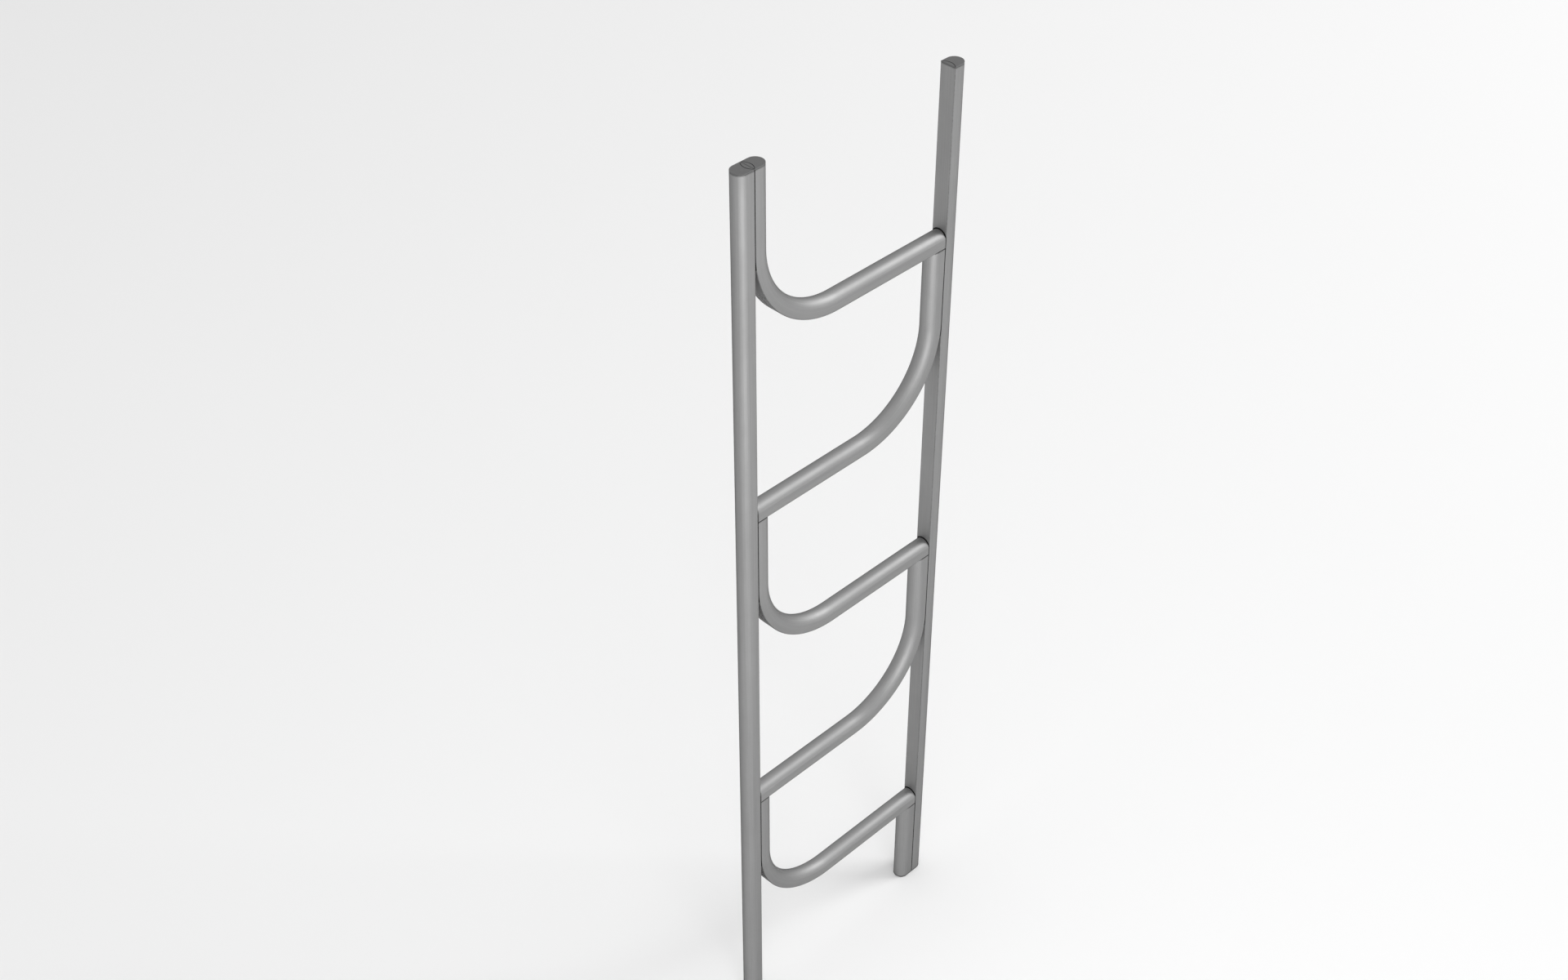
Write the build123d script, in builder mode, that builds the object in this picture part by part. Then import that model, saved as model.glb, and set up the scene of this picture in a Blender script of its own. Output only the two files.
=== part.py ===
"""Boarding ladder for a boat, as an assembly of separate pieces.

Two straight stiles stand 350 mm apart, flat faces inwards. Five J-shaped rungs of the same
hollow D-section bar alternate from side to side: each has a leg lying flat to flat against one
stile, a 90 degree bend and a level run whose square end meets the other stile. The run's flat is
its underside, and the next leg starts right under it, so the legs form a chain down both stiles.

Millimetres. +X along the rungs to the right, +Y through the ladder's thickness, +Z up. The origin
is on the floor, midway between the stiles. Rung 1 is the top one.
"""
from build123d import *
import os

os.makedirs("parts", exist_ok=True)

# ---- the ladder ----
height = 1500.0             # floor to the top faces
clear_width = 350.0         # between the stiles' flats
rung_count = 5
rung_pitch = 800.0 / 3      # from one rung's underside to the next
lowest_rung = 500.0 / 3     # floor to the underside of the lowest rung
bend_radius = 147.5         # of each rung's flat, which is on the outside of the bend

# ---- the bar: a hollow D section ----
bar_width = 25.0            # across the flat
bar_depth = 25.0            # from the flat to the crown of the round
wall = 2.0                  # round and straight sides
web = 4.0                   # the flat side, thicker because every joint goes through it
edge_radius = 0.8           # outer corners of the flat
cavity_radius = 1.0         # inner corners of the flat

# ---- joints inside the bars ----
glue_gap = 0.1              # round every bonded block, pin and spigot
block_length = 30.0         # solid block in a bar's end
block_chamfer = 1.0         # at a block's inner end
spigot_radius = 6.0         # end block's spigot through the stile's web
spigot_proud = 2.0          # how far the spigot stands into the stile's cavity
dowel_radius = 4.0          # leg block's dowel, up through the rung above
dowel_in_block = 6.0        # how far the dowel reaches into the end block
pin_radius = 3.0            # pins between a leg's flat and a stile's flat
pin_proud = 2.0             # how far a pin stands into each cavity
pin_margin = 45.0           # from a leg's top to its first pin, clear of the block
pin_spacing = 30.0
pins_per_leg = 3
tip_chamfer = 0.8           # on spigots, dowels and pins

# ---- caps and feet ----
cap_thickness = 1.5         # head of a top plug, over the whole bar end
foot_thickness = 1.5        # lip of a rubber foot, under the whole bar end
insert_length = 22.0        # what is pushed into the bar
insert_gap = 0.9            # between the insert and the bar's wall
rib_gap = 0.1               # between an insert's ribs and the bar's wall
rib_height = 2.0
rib_pitch = 6.0
rib_count = 3
rim_radius = 0.5            # round the outer edge of a plug's head and a foot's lip
arc_groove_bulge = 6.2      # how far a plug's arc-shaped groove reaches in from the flat
arc_groove_width = 1.0
arc_groove_depth = 0.6
tread_groove_width = 1.6    # grip grooves under a foot
tread_groove_depth = 0.7
tread_groove_pitch = 5.0
tread_grooves = 3

# ---- worked out ----
flat_x = clear_width / 2
half_width = bar_width / 2
round_radius = half_width
straight_side = bar_depth - round_radius
rung_flats = [lowest_rung + rung_pitch * (rung_count - 1 - i) for i in range(rung_count)]
bar_top = height - cap_thickness
bar_bottom = foot_thickness
leg_side = [-1 if i % 2 == 0 else 1 for i in range(rung_count)]     # -1 is the left stile
spigot_height = bar_depth / 2       # of the spigot's axis above the rung's flat
dowel_inset = bar_depth / 2         # of the dowel's axis from the stile's flat


# ---- profiles, each with its flat on the local Y axis and its round towards local +X ----

def d_face(flat_inset=0.0, side_inset=0.0, corner=edge_radius):
    """The D outline, drawn in from its flat by flat_inset and from its other sides by side_inset."""
    radius = round_radius - side_inset
    with BuildSketch() as face:
        with BuildLine():
            Polyline((straight_side, radius), (flat_inset, radius),
                     (flat_inset, -radius), (straight_side, -radius))
            ThreePointArc((straight_side, -radius), (straight_side + radius, 0), (straight_side, radius))
        make_face()
        fillet(face.vertices().group_by(Axis.X)[0], corner)
    return face.sketch


def tube_face():
    """The bar's wall: the outline less the cavity."""
    with BuildSketch() as face:
        add(d_face())
        add(d_face(web, wall, cavity_radius), mode=Mode.SUBTRACT)
    return face.sketch


def cavity_face(gap):
    """What fits into the bar's cavity with a gap all round."""
    return d_face(web + gap, wall + gap, cavity_radius)


def arc_groove_face():
    """A thin arc from one corner of the flat to the other, bulging into the end face."""
    inner = arc_groove_bulge - arc_groove_width
    with BuildSketch() as face:
        with BuildLine():
            outer_arc = ThreePointArc((0, -half_width), (arc_groove_bulge, 0), (0, half_width))
            inner_end = half_width - arc_groove_width
            inner_arc = ThreePointArc((0, -inner_end), (inner, 0), (0, inner_end))
            Line(outer_arc @ 0, inner_arc @ 0)
            Line(outer_arc @ 1, inner_arc @ 1)
        make_face()
    return face.sketch


# ---- planes ----

def upright_plane(side, inwards, z):
    """At height z on the flat of one stile. The bar's round points inwards or away from the ladder."""
    round_way = -side if inwards else side
    return Plane(origin=(side * flat_x, 0, z), x_dir=(round_way, 0, 0), z_dir=(0, 0, 1))


def level_plane(side, x, flat_z):
    """Across a rung's run at x, facing the given side. The bar's round points up."""
    return Plane(origin=(x, 0, flat_z), x_dir=(0, 0, 1), z_dir=(side, 0, 0))


def flat_plane(side):
    """On the flat of one stile, facing into the stile. Local X is across it and local Y is up."""
    return Plane(origin=(side * flat_x, 0, 0), x_dir=(0, side, 0), z_dir=(side, 0, 0))


def leg_top(i):
    """Height of the top end of rung i's leg, or of the foot leg's when i is rung_count."""
    return bar_top if i == 0 else rung_flats[i - 1]


def pin_heights(i):
    return [leg_top(i) - pin_margin - pin_spacing * k for k in range(pins_per_leg)]


def pin_circles(side, heights, radius):
    """Circles at the given heights on the flat of one stile, for pins or their holes."""
    with BuildSketch(flat_plane(side)) as circles:
        with Locations([(0, z) for z in heights]):
            Circle(radius)
    return circles.sketch


def save(piece, name):
    piece.label = name
    export_step(piece, f"parts/{name}.step")
    print(f"{name:24s} {len(piece.solids())} solids {piece.volume:12.1f} mm3")


# ---- bars ----

def make_stile(side):
    """A straight stile, with holes in its web for the rung ends' spigots and the legs' pins."""
    legs = [i for i in range(rung_count) if leg_side[i] == side]
    if side > 0:
        legs.append(rung_count)     # the foot leg
    with BuildPart() as stile:
        with BuildSketch(upright_plane(side, False, bar_bottom)):
            add(tube_face())
        extrude(amount=bar_top - bar_bottom)
        spigot_heights = [rung_flats[i] + spigot_height for i in range(rung_count) if i not in legs]
        extrude(pin_circles(side, spigot_heights, spigot_radius + glue_gap),
                amount=web, mode=Mode.SUBTRACT)
        all_pin_heights = [z for i in legs for z in pin_heights(i)]
        extrude(pin_circles(side, all_pin_heights, pin_radius + glue_gap),
                amount=web, mode=Mode.SUBTRACT)
    return stile.part


def make_rung(i):
    """Leg, bend and run of rung i in one bent bar."""
    side = leg_side[i]
    flat_z = rung_flats[i]
    bend_z = flat_z + bend_radius
    bend_x = side * (flat_x - bend_radius)
    bend_start = upright_plane(side, True, bend_z)
    bend_end = level_plane(-side, bend_x, flat_z)
    with BuildPart() as rung:
        with BuildSketch(bend_start):
            add(tube_face())
        extrude(amount=leg_top(i) - bend_z)
        with BuildSketch(bend_start):
            add(tube_face())
        revolve(axis=Axis((bend_x, 0, bend_z), (0, side, 0)), revolution_arc=90)
        with BuildSketch(bend_end):
            add(tube_face())
        extrude(amount=clear_width - bend_radius)
        extrude(pin_circles(side, pin_heights(i), pin_radius + glue_gap),
                amount=-web, mode=Mode.SUBTRACT)
        with BuildSketch(Plane.XY.offset(flat_z)):
            with Locations((-side * (flat_x - dowel_inset), 0)):
                Circle(dowel_radius + glue_gap)
        extrude(amount=web, mode=Mode.SUBTRACT)
    return rung.part


def make_foot_leg():
    """The short leg under the lowest rung's end, down to the floor."""
    with BuildPart() as leg:
        with BuildSketch(upright_plane(1, True, bar_bottom)):
            add(tube_face())
        extrude(amount=leg_top(rung_count) - bar_bottom)
        extrude(pin_circles(1, pin_heights(rung_count), pin_radius + glue_gap),
                amount=-web, mode=Mode.SUBTRACT)
    return leg.part


# ---- joint pieces ----

def make_end_block(i):
    """Solid block in the free end of rung i, with a spigot through the stile's web."""
    side = -leg_side[i]
    flat_z = rung_flats[i]
    with BuildPart() as block:
        with BuildSketch(level_plane(-side, side * flat_x, flat_z)):
            add(cavity_face(glue_gap))
        extrude(amount=block_length)
        chamfer(block.faces().sort_by(Axis.X)[0 if side > 0 else -1].edges(), block_chamfer)
        with BuildSketch(Plane.XY.offset(flat_z)):
            with Locations((side * (flat_x - dowel_inset), 0)):
                Circle(dowel_radius + glue_gap)
        extrude(amount=web + dowel_in_block + glue_gap, mode=Mode.SUBTRACT)
        extrude(pin_circles(side, [flat_z + spigot_height], spigot_radius),
                amount=web + spigot_proud)
        chamfer(block.faces().sort_by(Axis.X)[-1 if side > 0 else 0].edges(), tip_chamfer)
    return block.part


def make_leg_block(i):
    """Solid block in a leg's top end, with a dowel up through the web of the rung above."""
    side = leg_side[i] if i < rung_count else 1
    top = leg_top(i)
    with BuildPart() as block:
        with BuildSketch(upright_plane(side, True, top)):
            add(cavity_face(glue_gap))
        extrude(amount=-block_length)
        chamfer(block.faces().sort_by(Axis.Z)[0].edges(), block_chamfer)
        with BuildSketch(Plane.XY.offset(top)):
            with Locations((side * (flat_x - dowel_inset), 0)):
                Circle(dowel_radius)
        extrude(amount=web + dowel_in_block)
        chamfer(block.faces().sort_by(Axis.Z)[-1].edges(), tip_chamfer)
    return block.part


def make_leg_pins(side, heights):
    """The pins that tie one leg's flat to the stile's flat, as separate solids."""
    half_length = web + pin_proud
    with BuildPart() as pins:
        extrude(pin_circles(side, heights, pin_radius), amount=half_length, both=True)
        ends = pins.faces().filter_by(Axis.X)
        chamfer(ends.edges(), tip_chamfer)
    return pins.part


# ---- plugs and feet ----

def make_insert(plane):
    """The ribbed body of a plug or foot: from the plane along its normal, into the bar."""
    with BuildPart() as insert:
        with BuildSketch(plane):
            add(cavity_face(insert_gap))
        extrude(amount=insert_length)
        for k in range(rib_count):
            with BuildSketch(plane.offset(rib_pitch * (k + 1) - rib_height / 2)):
                add(cavity_face(rib_gap))
            extrude(amount=rib_height)
    return insert.part


def make_top_plug(side, inwards):
    """Plug whose head covers the bar's end, with an arc-shaped groove beside its flat."""
    seat = upright_plane(side, inwards, bar_top)
    into_bar = Plane(origin=seat.origin, x_dir=seat.x_dir, z_dir=(0, 0, -1))
    with BuildPart() as plug:
        with BuildSketch(seat):
            add(d_face())
        extrude(amount=cap_thickness)
        fillet(plug.faces().sort_by(Axis.Z)[-1].edges(), rim_radius)
        with BuildSketch(seat.offset(cap_thickness - arc_groove_depth)):
            add(arc_groove_face())
        extrude(amount=arc_groove_depth, mode=Mode.SUBTRACT)
        add(make_insert(into_bar))
    return plug.part


def make_foot(side, inwards):
    """Rubber foot whose lip covers the bar's end, with grip grooves underneath."""
    seat = upright_plane(side, inwards, bar_bottom)
    sole = seat.offset(-foot_thickness)
    first_groove = bar_depth / 2 - tread_groove_pitch * (tread_grooves - 1) / 2
    with BuildPart() as foot:
        with BuildSketch(sole):
            add(d_face())
        extrude(amount=foot_thickness)
        fillet(foot.faces().sort_by(Axis.Z)[0].edges(), rim_radius)
        with BuildSketch(sole):
            with Locations([(first_groove + tread_groove_pitch * k, 0) for k in range(tread_grooves)]):
                Rectangle(tread_groove_width, bar_width)
        extrude(amount=tread_groove_depth, mode=Mode.SUBTRACT)
        add(make_insert(seat))
    return foot.part


# ---- the assembly ----

save(make_stile(-1), "stile_left")
save(make_stile(1), "stile_right")
save(make_foot_leg(), "foot_leg")
save(make_leg_block(rung_count), "foot_leg_block")
save(make_leg_pins(1, pin_heights(rung_count)), "foot_leg_pins")

for i in range(rung_count):
    rung_name = f"rung_{i + 1}"
    save(make_rung(i), rung_name)
    save(make_end_block(i), f"{rung_name}_end_block")
    save(make_leg_pins(leg_side[i], pin_heights(i)), f"{rung_name}_leg_pins")
    if i > 0:
        save(make_leg_block(i), f"{rung_name}_leg_block")

save(make_top_plug(-1, False), "stile_left_top_plug")
save(make_top_plug(1, False), "stile_right_top_plug")
save(make_top_plug(leg_side[0], True), "rung_1_top_plug")
save(make_foot(-1, False), "stile_left_foot")
save(make_foot(1, False), "stile_right_foot")
save(make_foot(1, True), "foot_leg_foot")
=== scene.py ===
"""Boat boarding ladder: the visible bars, the materials, the studio and the camera.

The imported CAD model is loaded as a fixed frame, in metres. The eight bars are rebuilt here as
finely swept hollow D sections. Plugs, feet, blocks and pins stay as CAD nodes and get materials.
"""

import math

import bmesh
import bpy
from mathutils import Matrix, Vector


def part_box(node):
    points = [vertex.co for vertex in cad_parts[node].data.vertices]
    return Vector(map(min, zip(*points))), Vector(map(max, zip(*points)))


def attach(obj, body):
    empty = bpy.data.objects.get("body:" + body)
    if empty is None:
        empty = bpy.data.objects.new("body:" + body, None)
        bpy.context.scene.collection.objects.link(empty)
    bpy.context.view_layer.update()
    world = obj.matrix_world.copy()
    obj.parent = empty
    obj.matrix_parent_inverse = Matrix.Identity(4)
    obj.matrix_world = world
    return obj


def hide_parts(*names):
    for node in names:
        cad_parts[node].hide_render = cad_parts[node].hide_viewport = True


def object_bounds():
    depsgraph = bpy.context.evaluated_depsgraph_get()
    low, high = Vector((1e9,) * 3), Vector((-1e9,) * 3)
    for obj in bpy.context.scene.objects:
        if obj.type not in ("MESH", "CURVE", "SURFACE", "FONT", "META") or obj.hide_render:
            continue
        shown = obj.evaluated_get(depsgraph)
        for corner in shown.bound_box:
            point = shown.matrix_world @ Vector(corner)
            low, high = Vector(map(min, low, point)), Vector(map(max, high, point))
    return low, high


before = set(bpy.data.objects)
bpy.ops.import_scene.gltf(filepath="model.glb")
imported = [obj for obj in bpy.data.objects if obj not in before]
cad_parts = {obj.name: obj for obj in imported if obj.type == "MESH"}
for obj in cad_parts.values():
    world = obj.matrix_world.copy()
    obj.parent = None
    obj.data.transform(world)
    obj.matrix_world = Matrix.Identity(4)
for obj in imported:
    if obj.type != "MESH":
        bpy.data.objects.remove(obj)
cad_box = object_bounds()

# ---- the bar, in metres ----
WALL = 0.002                # round and straight sides
WEB = 0.004                 # the flat side
EDGE_RADIUS = 0.0012        # outer corners of the flat
CAVITY_RADIUS = 0.001       # inner corners of the flat
BEND_RADIUS = 0.1475        # of a rung's flat, on the outside of its bend
CUT_CHAMFER = 0.0003        # deburred edge of a bar's sawn end
RUNGS = 5

# ---- mesh density ----
ROUND_STEPS = 48            # round the half circle of the D
CORNER_STEPS = 5
BEND_STEPS = 72
RING_SPACING = 0.05         # between rings on a straight length
FLAT_MARGIN = 0.0006        # narrow strip that keeps the flat's shading flat
SHARP_ANGLE = 32            # degrees between faces that shade as a hard edge
NEAR_RING = 0.0008          # first ring from a sawn end
WEAR_REACH = 0.0025         # second ring, where the wear of a sawn end has faded out

# ---- finish: linear greys, and lengths in metres ----
BAR_GREY = 0.345
BAR_ROUGHNESS = 0.55
BAR_METALLIC = 0.95
BAR_ANISOTROPY = 0.35
ALONG_BAR = 0.25            # anisotropic rotation that turns the streaks along the bar
BAR_EDGE_TINT = 0.0         # no bright rim where the bar turns away
SEAM_REACH = 0.0018         # seams narrower than this are painted near black: painted shade, partly standing for grime
GROOVE_REACH = 0.0016       # the same, in the plugs' grooves
# near-black colour of the painted shade, with some grime, in seams and grooves
SHADE_AND_GRIME_GREY = 0.03
BLOCK_DARK, BLOCK_PALE, BLOCK_STAIN = 0.55, 0.68, 0.42
PIN_DARK, PIN_PALE = 0.52, 0.64
SEAM_FULL, SEAM_NONE = 0.9, 0.995   # share of open sky where the painted shade and grime are full, and where they end
SEAM_SAMPLES = 12
PLUG_GREY = 0.105
RUBBER_GREY = 0.05
DUST_GREY = 0.12
FLOOR_WHITE = 0.85

# ---- studio ----
FLOOR_RADIUS = 60.0
FLOOR_SIDES = 96
FLOOR_GAP = 0.0002          # below the feet, so that no faces share a plane
HORIZON_GREY = 0.66
ZENITH_GREY = 0.72
ZENITH_FROM = 0.6           # height of a direction, 0 to 1, above which the room has its zenith grey
MIDDLE = (0, 0, 0.75)       # of the ladder
SOFT_LIGHTS = {             # name: place, target, size, watts, spread in degrees
    "near_camera": ((-1.7, -2.4, 1.8), MIDDLE, 1.6, 5.0, 130),
    "behind_camera": ((-2.3, -2.1, 3.5), MIDDLE, 1.0, 4.5, 130),
    "low_front": ((-1.1, -2.3, 0.5), (0, 0, 0.9), 1.0, 11.5, 130),
    "far_right": ((8.7, -5.2, 7.2), MIDDLE, 5.5, 700, 180),
    "overhead": ((-1.0, 1.0, 12.0), MIDDLE, 6.0, 80, 180),
}
CAMERA_PLACE = (-1.7019, -1.5894, 2.7955)
CAMERA_TILT = 51.07         # degrees up from looking straight down
CAMERA_HEADING = -44.96     # degrees from +Y
CAMERA_LENS = 50            # millimetres, on a sensor of SENSOR_WIDTH
SENSOR_WIDTH = 36
CAMERA_REACH = 200          # metres, past the far edge of the floor

ACROSS = Vector((0, 1, 0))  # across every bar's flat


# ---------------------------------------------------------------- objects and meshes

def add_object(name, data):
    """A new object in the scene."""
    thing = bpy.data.objects.new(name, data)
    bpy.context.scene.collection.objects.link(thing)
    return thing


def finished_mesh(bm, name):
    """A mesh from bm, which is freed."""
    mesh = bpy.data.meshes.new(name)
    bm.to_mesh(mesh)
    bm.free()
    return mesh


# ---------------------------------------------------------------- bars

def arc(centre, radius, start, sweep, steps):
    """Points round a centre, from the angle start through the angle sweep."""
    angles = [start + sweep * step / steps for step in range(steps + 1)]
    return [(centre[0] + radius * math.cos(a), centre[1] + radius * math.sin(a)) for a in angles]


def d_outline(depth, half_width, flat_inset=0.0, side_inset=0.0, corner=EDGE_RADIUS):
    """Points (distance from the flat, place across) round the D, from one corner to the other."""
    quarter = math.pi / 2
    radius = half_width - side_inset
    corner_at = flat_inset + corner
    points = arc((corner_at, -radius + corner), corner, math.pi, quarter, CORNER_STEPS)
    points += arc((depth - half_width, 0.0), radius, -quarter, math.pi, ROUND_STEPS)
    points += arc((corner_at, radius - corner), corner, quarter, quarter, CORNER_STEPS)
    strip = radius - corner - FLAT_MARGIN
    points += [(flat_inset, strip), (flat_inset, -strip)]
    return points


def outline_wear():
    """How exposed each outline point is: 1 at the middle of a corner, 0 away from the corners."""
    corner = [math.sin(math.pi * step / CORNER_STEPS) for step in range(CORNER_STEPS + 1)]
    away_from_corners = [0.0] * (ROUND_STEPS + 1)
    on_flat = [0.0, 0.0]
    return corner + away_from_corners + corner + on_flat


def spaced(start, end):
    """Values from start to end, close together at both ends and RING_SPACING apart between."""
    length = abs(end - start)
    way = 1 if end > start else -1
    near = [0.0, NEAR_RING, WEAR_REACH]
    inner = length - 2 * WEAR_REACH
    middle = max(1, round(inner / RING_SPACING))
    steps = near + [WEAR_REACH + inner * i / middle for i in range(1, middle)]
    steps += [length - reach for reach in reversed(near)]
    return [start + way * step for step in steps]


def upright_stations(x, round_way, z_start, z_end):
    """Places along a vertical bar: (point on the flat, way to the round, way along the bar)."""
    along = Vector((0, 0, 1 if z_end > z_start else -1))
    return [(Vector((x, 0, z)), Vector((round_way, 0, 0)), along) for z in spaced(z_start, z_end)]


def rung_stations(side, flat_x, flat_z, top_z):
    """Down the leg on one side, round the bend and along the run to the other side."""
    bend_x = side * (flat_x - BEND_RADIUS)
    bend_z = flat_z + BEND_RADIUS
    leg = upright_stations(side * flat_x, -side, top_z, bend_z)
    centre = Vector((bend_x, 0, bend_z))
    bend = []
    for step in range(1, BEND_STEPS):
        angle = math.pi / 2 * step / BEND_STEPS
        outward = Vector((side * math.cos(angle), 0, -math.sin(angle)))
        along = Vector((-side * math.sin(angle), 0, -math.cos(angle)))
        bend.append((centre + outward * BEND_RADIUS, -outward, along))
    run = [(Vector((x, 0, flat_z)), Vector((0, 0, 1)), Vector((-side, 0, 0)))
           for x in spaced(bend_x, -side * flat_x)]
    return leg + bend + run


def ring(points, station, shift=0.0):
    """An outline's points in space at a station, moved along the bar by shift."""
    flat_point, round_way, along = station
    origin = flat_point + along * shift
    return [origin + round_way * a + ACROSS * b for a, b in points]


def lengths_along(stations, half_width):
    """How far each station is along the middle of the bar."""
    lengths = [0.0]
    for before, after in zip(stations, stations[1:]):
        mid_before = before[0] + before[1] * half_width
        mid_after = after[0] + after[1] * half_width
        lengths.append(lengths[-1] + (mid_after - mid_before).length)
    return lengths


def lengths_around(outline):
    """How far each outline point is round the outline, which closes on its first point."""
    around = [0.0]
    closed = outline + outline[:1]
    for (a0, b0), (a1, b1) in zip(closed, closed[1:]):
        around.append(around[-1] + math.hypot(a1 - a0, b1 - b0))
    return around


def bar_rings(stations, lengths, depth, half_width):
    """Rings (points, length along, wear of each point) up the outside of the bar and back inside."""
    outer = d_outline(depth, half_width)
    cut = d_outline(depth, half_width, CUT_CHAMFER, CUT_CHAMFER, EDGE_RADIUS - CUT_CHAMFER)
    inner = d_outline(depth, half_width, WEB, WALL, CAVITY_RADIUS)
    corner_wear = outline_wear()
    full_wear = [1.0] * len(outer)
    no_wear = [0.0] * len(outer)
    last = len(stations) - 1

    rings = [(ring(cut, stations[0]), 0.0, full_wear)]
    for i, station in enumerate(stations):
        shift = CUT_CHAMFER if i == 0 else -CUT_CHAMFER if i == last else 0.0
        to_end = min(lengths[i], lengths[-1] - lengths[i])
        end_wear = max(0.0, 1 - to_end / WEAR_REACH)
        wears = [max(wear, end_wear) for wear in corner_wear]
        rings.append((ring(outer, station, shift), lengths[i], wears))
    rings.append((ring(cut, stations[-1]), lengths[-1], full_wear))
    for i in reversed(range(len(stations))):
        rings.append((ring(inner, stations[i]), lengths[i], no_wear))
    return rings


def bar_mesh(name, rings, around):
    """A skin over the rings, the last joined to the first. Its UVs are metres along and round."""
    bm = bmesh.new()
    uv = bm.loops.layers.uv.new("bar")
    wear_layer = bm.verts.layers.float.new("wear")
    rows = []
    for points, _, wears in rings:
        row = [bm.verts.new(p) for p in points]
        for vert, wear in zip(row, wears):
            vert[wear_layer] = wear
        rows.append(row)
    for i, row in enumerate(rows):
        after = (i + 1) % len(rows)
        next_row = rows[after]
        here, there = rings[i][1], rings[after][1]
        for k in range(len(row)):
            beside = (k + 1) % len(row)
            face = bm.faces.new((row[k], row[beside], next_row[beside], next_row[k]))
            face.smooth = True
            places = ((here, around[k]), (here, around[k + 1]),
                      (there, around[k + 1]), (there, around[k]))
            for loop, place in zip(face.loops, places):
                loop[uv].uv = place
    bmesh.ops.recalc_face_normals(bm, faces=bm.faces)
    mesh = finished_mesh(bm, name)
    mesh.set_sharp_from_angle(angle=math.radians(SHARP_ANGLE))
    mesh.materials.append(bar_material)
    return mesh


def make_bar(name, stations, depth, half_width):
    """A hollow D bar through the stations, replacing its CAD node."""
    rings = bar_rings(stations, lengths_along(stations, half_width), depth, half_width)
    around = lengths_around(d_outline(depth, half_width))
    bar = add_object(name, bar_mesh(name, rings, around))
    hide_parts(name.removesuffix("_bar"))
    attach(bar, "root")


# ---------------------------------------------------------------- node helpers

def new_material(name):
    """An empty node material with a Principled shader: (material, tree, shader)."""
    material = bpy.data.materials.new(name)
    material.use_nodes = True
    tree = material.node_tree
    return material, tree, tree.nodes["Principled BSDF"]


def add_node(tree, kind, inputs=None, **settings):
    """A node with its settings, and its inputs set to values or linked to sockets."""
    node = tree.nodes.new(kind)
    for key, value in settings.items():
        setattr(node, key, value)
    for key, value in (inputs or {}).items():
        if isinstance(value, bpy.types.NodeSocket):
            tree.links.new(value, node.inputs[key])
        else:
            node.inputs[key].default_value = value
    return node


def object_place(tree):
    """A place on a CAD node, in metres."""
    return add_node(tree, "ShaderNodeTexCoord").outputs["Object"]


def noise(tree, place, scale, detail=2.0, rough=0.5):
    """Noise over a place socket stretched by scale, features per metre on each axis."""
    mapping = add_node(tree, "ShaderNodeMapping", {"Vector": place, "Scale": scale})
    texture = add_node(tree, "ShaderNodeTexNoise", {"Vector": mapping.outputs[0], "Scale": 1.0,
                                                    "Detail": detail, "Roughness": rough})
    return texture.outputs["Fac"]


def maths(tree, operation, a, b, clamp=False):
    """The result of a maths node on two values or sockets."""
    node = add_node(tree, "ShaderNodeMath", {0: a, 1: b}, operation=operation, use_clamp=clamp)
    return node.outputs[0]


def ranged(tree, value, low, high, from_low=0.3, from_high=0.7):
    """value from its range from_low to from_high onto low to high."""
    node = add_node(tree, "ShaderNodeMapRange", {"Value": value, "From Min": from_low,
                                                 "From Max": from_high, "To Min": low, "To Max": high})
    return node.outputs["Result"]


def mixed_colour(tree, factor, a, b):
    """Colour a where factor is 0, colour b where it is 1."""
    node = add_node(tree, "ShaderNodeMix", {"Factor": factor, 6: a, 7: b}, data_type="RGBA")
    return node.outputs[2]


def grey(level, warm=0.0):
    """A grey of that linear level, a little warm or cool."""
    return (level * (1 + warm), level, level * (1 - warm), 1.0)


def crevice_shade_and_grime(tree, reach):
    """1 in a seam, groove or corner narrower than about reach, 0 on open surface: the mask for painted
    shade there, partly standing for grime.
    """
    open_sky = add_node(tree, "ShaderNodeAmbientOcclusion", {"Distance": reach}, samples=SEAM_SAMPLES)
    return ranged(tree, open_sky.outputs["AO"], 1.0, 0.0, SEAM_FULL, SEAM_NONE)


def link_finish(tree, shader, base, rough):
    """Colour and roughness from sockets."""
    tree.links.new(base, shader.inputs["Base Color"])
    tree.links.new(rough, shader.inputs["Roughness"])


def add_bump(tree, shader, height, distance, strength):
    """Relief from a height socket, distance deep in metres."""
    bump = add_node(tree, "ShaderNodeBump", {"Strength": strength, "Distance": distance, "Height": height})
    tree.links.new(bump.outputs[0], shader.inputs["Normal"])


# ---------------------------------------------------------------- materials

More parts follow.
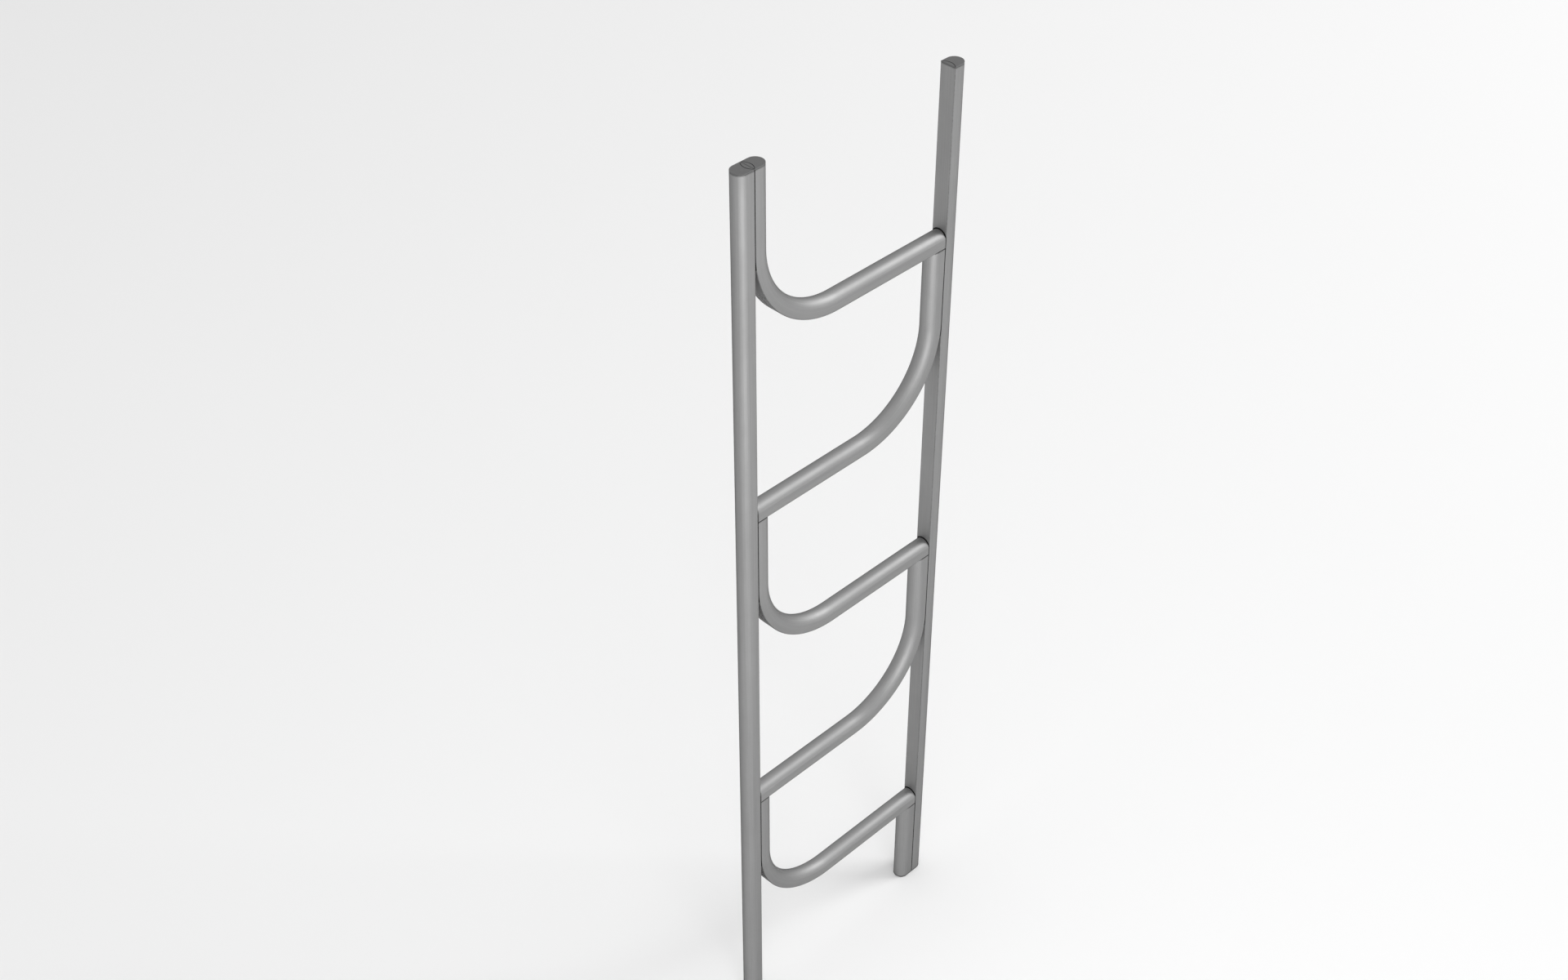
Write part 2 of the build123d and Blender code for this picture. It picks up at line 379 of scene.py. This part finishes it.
def make_bar_material():
    """Satin anodised aluminium: drawing lines along the bar, dulled edges, and painted shade with some
    grime in the seams.
    """
    material, tree, shader = new_material("bar_aluminium")
    place = add_node(tree, "ShaderNodeUVMap", uv_map="bar").outputs["UV"]
    wear = add_node(tree, "ShaderNodeAttribute", attribute_name="wear").outputs["Fac"]

    hair = noise(tree, place, (18, 3600, 1), detail=3.0, rough=0.6)
    drawn = noise(tree, place, (3.5, 520, 1), detail=3.0, rough=0.55)
    cloud = noise(tree, place, (9, 14, 1), detail=4.0, rough=0.6)
    speck = noise(tree, place, (420, 420, 1), detail=2.0, rough=0.7)
    lines = maths(tree, "ADD", maths(tree, "MULTIPLY", drawn, 0.6), maths(tree, "MULTIPLY", hair, 0.4))
    # occlusion mask: painted shade in the seams, partly standing for grime
    seam_shade_and_grime = crevice_shade_and_grime(tree, SEAM_REACH)
    rubbed = maths(tree, "MULTIPLY", wear, ranged(tree, speck, 0.45, 1.0), clamp=True)

    dark_line, pale_line = grey(BAR_GREY * 0.86), grey(BAR_GREY * 1.12)
    handled_grey = grey(BAR_GREY * 0.72, warm=0.004)
    dulled_grey = grey(BAR_GREY * 0.3)
    base = mixed_colour(tree, ranged(tree, lines, 0.0, 1.0), dark_line, pale_line)
    base = mixed_colour(tree, ranged(tree, cloud, 0.0, 0.18), base, handled_grey)
    base = mixed_colour(tree, maths(tree, "MULTIPLY", rubbed, 0.8), base, dulled_grey)
    # painted shade: seams go near black where little sky reaches them, partly standing for grime
    base = mixed_colour(tree, seam_shade_and_grime, base, grey(SHADE_AND_GRIME_GREY))

    satin = ranged(tree, lines, BAR_ROUGHNESS - 0.05, BAR_ROUGHNESS + 0.06)
    handled = maths(tree, "ADD", satin, ranged(tree, cloud, -0.03, 0.04))
    rough = maths(tree, "ADD", handled, maths(tree, "MULTIPLY", rubbed, 0.1), clamp=True)
    rough = maths(tree, "ADD", rough, maths(tree, "MULTIPLY", seam_shade_and_grime, 0.3), clamp=True)
    link_finish(tree, shader, base, rough)
    add_bump(tree, shader, lines, distance=0.00002, strength=0.35)

    tangent = add_node(tree, "ShaderNodeTangent", direction_type="UV_MAP", uv_map="bar")
    tree.links.new(tangent.outputs[0], shader.inputs["Tangent"])
    shader.inputs["Metallic"].default_value = BAR_METALLIC
    shader.inputs["Anisotropic"].default_value = BAR_ANISOTROPY
    shader.inputs["Anisotropic Rotation"].default_value = ALONG_BAR
    shader.inputs["Specular Tint"].default_value = grey(BAR_EDGE_TINT)
    return material


def make_block_material():
    """Machined aluminium, with fine turning marks."""
    material, tree, shader = new_material("block_aluminium")
    place = object_place(tree)
    marks = noise(tree, place, (300, 300, 2600))
    stain = noise(tree, place, (70, 70, 70), detail=3.0)
    base = mixed_colour(tree, ranged(tree, marks, 0.0, 1.0), grey(BLOCK_DARK), grey(BLOCK_PALE))
    base = mixed_colour(tree, ranged(tree, stain, 0.0, 0.25), base, grey(BLOCK_STAIN, warm=0.02))
    link_finish(tree, shader, base, ranged(tree, marks, 0.28, 0.4))
    add_bump(tree, shader, marks, distance=0.00003, strength=0.4)
    shader.inputs["Metallic"].default_value = 1.0
    return material


def make_pin_material():
    """Ground stainless steel."""
    material, tree, shader = new_material("pin_steel")
    marks = noise(tree, object_place(tree), (5000, 400, 400))
    dark, pale = grey(PIN_DARK, warm=0.01), grey(PIN_PALE, warm=0.01)
    base = mixed_colour(tree, ranged(tree, marks, 0.0, 1.0), dark, pale)
    link_finish(tree, shader, base, ranged(tree, marks, 0.2, 0.32))
    add_bump(tree, shader, marks, distance=0.00002, strength=0.3)
    shader.inputs["Metallic"].default_value = 1.0
    return material


def make_plug_material():
    """Moulded dark grey nylon with a fine matt grain, pale scuffs, and painted shade with some grime in its
    groove.
    """
    material, tree, shader = new_material("plug_nylon")
    place = object_place(tree)
    grain = noise(tree, place, (1900, 1900, 1900), detail=3.0, rough=0.6)
    scuff = noise(tree, place, (160, 160, 160), detail=4.0, rough=0.65)
    scuffed = ranged(tree, scuff, 0.0, 0.3, from_low=0.45)
    base = mixed_colour(tree, ranged(tree, grain, 0.0, 1.0), grey(PLUG_GREY * 0.85), grey(PLUG_GREY * 1.15))
    base = mixed_colour(tree, scuffed, base, grey(PLUG_GREY * 1.5))
    # painted shade in the groove from the occlusion mask, partly standing for grime
    base = mixed_colour(tree, crevice_shade_and_grime(tree, GROOVE_REACH), base, grey(SHADE_AND_GRIME_GREY * 0.5))
    link_finish(tree, shader, base, ranged(tree, scuff, 0.5, 0.66))
    add_bump(tree, shader, grain, distance=0.00006, strength=0.5)
    return material


def make_rubber_material():
    """Matt moulded rubber, a little dusty."""
    material, tree, shader = new_material("foot_rubber")
    place = object_place(tree)
    grain = noise(tree, place, (1300, 1300, 1300), detail=3.0, rough=0.65)
    dust = noise(tree, place, (120, 120, 60), detail=4.0, rough=0.6)
    base = mixed_colour(tree, ranged(tree, dust, 0.0, 0.5), grey(RUBBER_GREY), grey(DUST_GREY, warm=0.02))
    link_finish(tree, shader, base, ranged(tree, dust, 0.7, 0.9))
    add_bump(tree, shader, grain, distance=0.0001, strength=0.6)
    return material


def make_floor_material():
    """Plain white studio floor with the faintest unevenness."""
    material, tree, shader = new_material("studio_floor")
    uneven = noise(tree, object_place(tree), (0.8, 0.8, 0.8))
    base = mixed_colour(tree, ranged(tree, uneven, 0.0, 1.0), grey(FLOOR_WHITE * 0.995), grey(FLOOR_WHITE))
    tree.links.new(base, shader.inputs["Base Color"])
    shader.inputs["Roughness"].default_value = 0.9
    shader.inputs["Specular IOR Level"].default_value = 0.1
    return material


# ---------------------------------------------------------------- the bars in place

bar_material = make_bar_material()
stile_low, stile_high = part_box("stile_left")
bar_depth = stile_high[0] - stile_low[0]
bar_half_width = (stile_high[1] - stile_low[1]) / 2
flat_at = -stile_high[0]    # each stile's flat, from the middle of the ladder

for side, node_name in ((-1, "stile_left"), (1, "stile_right")):
    low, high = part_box(node_name)
    stations = upright_stations(side * flat_at, side, low[2], high[2])
    make_bar(f"{node_name}_bar", stations, bar_depth, bar_half_width)

low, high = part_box("foot_leg")
make_bar("foot_leg_bar", upright_stations(flat_at, -1, low[2], high[2]), bar_depth, bar_half_width)

for number in range(1, RUNGS + 1):
    low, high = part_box(f"rung_{number}")
    leg_side = -1 if number % 2 else 1
    stations = rung_stations(leg_side, flat_at, low[2], high[2])
    make_bar(f"rung_{number}_bar", stations, bar_depth, bar_half_width)


# ---------------------------------------------------------------- the CAD nodes that show

cad_materials = {           # by the last word of a node's name
    "block": make_block_material(),
    "pins": make_pin_material(),
    "plug": make_plug_material(),
    "foot": make_rubber_material(),
}
for name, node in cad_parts.items():
    material = cad_materials.get(name.split("_")[-1])
    if material is not None:
        for material_slot in node.material_slots:
            material_slot.material = material


# ---------------------------------------------------------------- studio

def make_floor():
    """A flat round floor just under the feet."""
    bm = bmesh.new()
    bmesh.ops.create_circle(bm, cap_ends=True, segments=FLOOR_SIDES, radius=FLOOR_RADIUS)
    mesh = finished_mesh(bm, "floor")
    mesh.materials.append(make_floor_material())
    floor = add_object("floor", mesh)
    floor.location.z = cad_box[0][2] - FLOOR_GAP


def make_world():
    """An even grey room, a little paler overhead than at the horizon."""
    world = bpy.data.worlds.new("studio")
    world.use_nodes = True
    tree = world.node_tree
    background = tree.nodes["Background"]
    way = add_node(tree, "ShaderNodeTexCoord").outputs["Generated"]
    height = add_node(tree, "ShaderNodeSeparateXYZ", {0: way}).outputs["Z"]
    climb = ranged(tree, height, 0.0, 1.0, 0.0, ZENITH_FROM)
    colour = mixed_colour(tree, climb, grey(HORIZON_GREY), grey(ZENITH_GREY))
    tree.links.new(colour, background.inputs["Color"])
    background.inputs["Strength"].default_value = 1.0
    bpy.context.scene.world = world


def add_soft_light(name, place, target, size, watts, spread):
    """A square soft box at place, facing target, with a grid that narrows it to spread degrees."""
    light = bpy.data.lights.new(name, "AREA")
    light.shape = "SQUARE"
    light.size = size
    light.energy = watts
    light.spread = math.radians(spread)
    holder = add_object(name, light)
    holder.location = place
    holder.rotation_euler = (Vector(target) - Vector(place)).to_track_quat("-Z", "Y").to_euler()


def make_camera():
    """A level camera that looks down on the ladder."""
    lens = bpy.data.cameras.new("camera")
    lens.lens = CAMERA_LENS
    lens.sensor_width = SENSOR_WIDTH
    lens.clip_end = CAMERA_REACH
    camera = add_object("camera", lens)
    camera.location = CAMERA_PLACE
    camera.rotation_euler = (math.radians(CAMERA_TILT), 0, math.radians(CAMERA_HEADING))
    bpy.context.scene.camera = camera


make_floor()
make_world()
for name, settings in SOFT_LIGHTS.items():
    add_soft_light(name, *settings)
make_camera()
bpy.context.scene.view_settings.view_transform = "Standard"
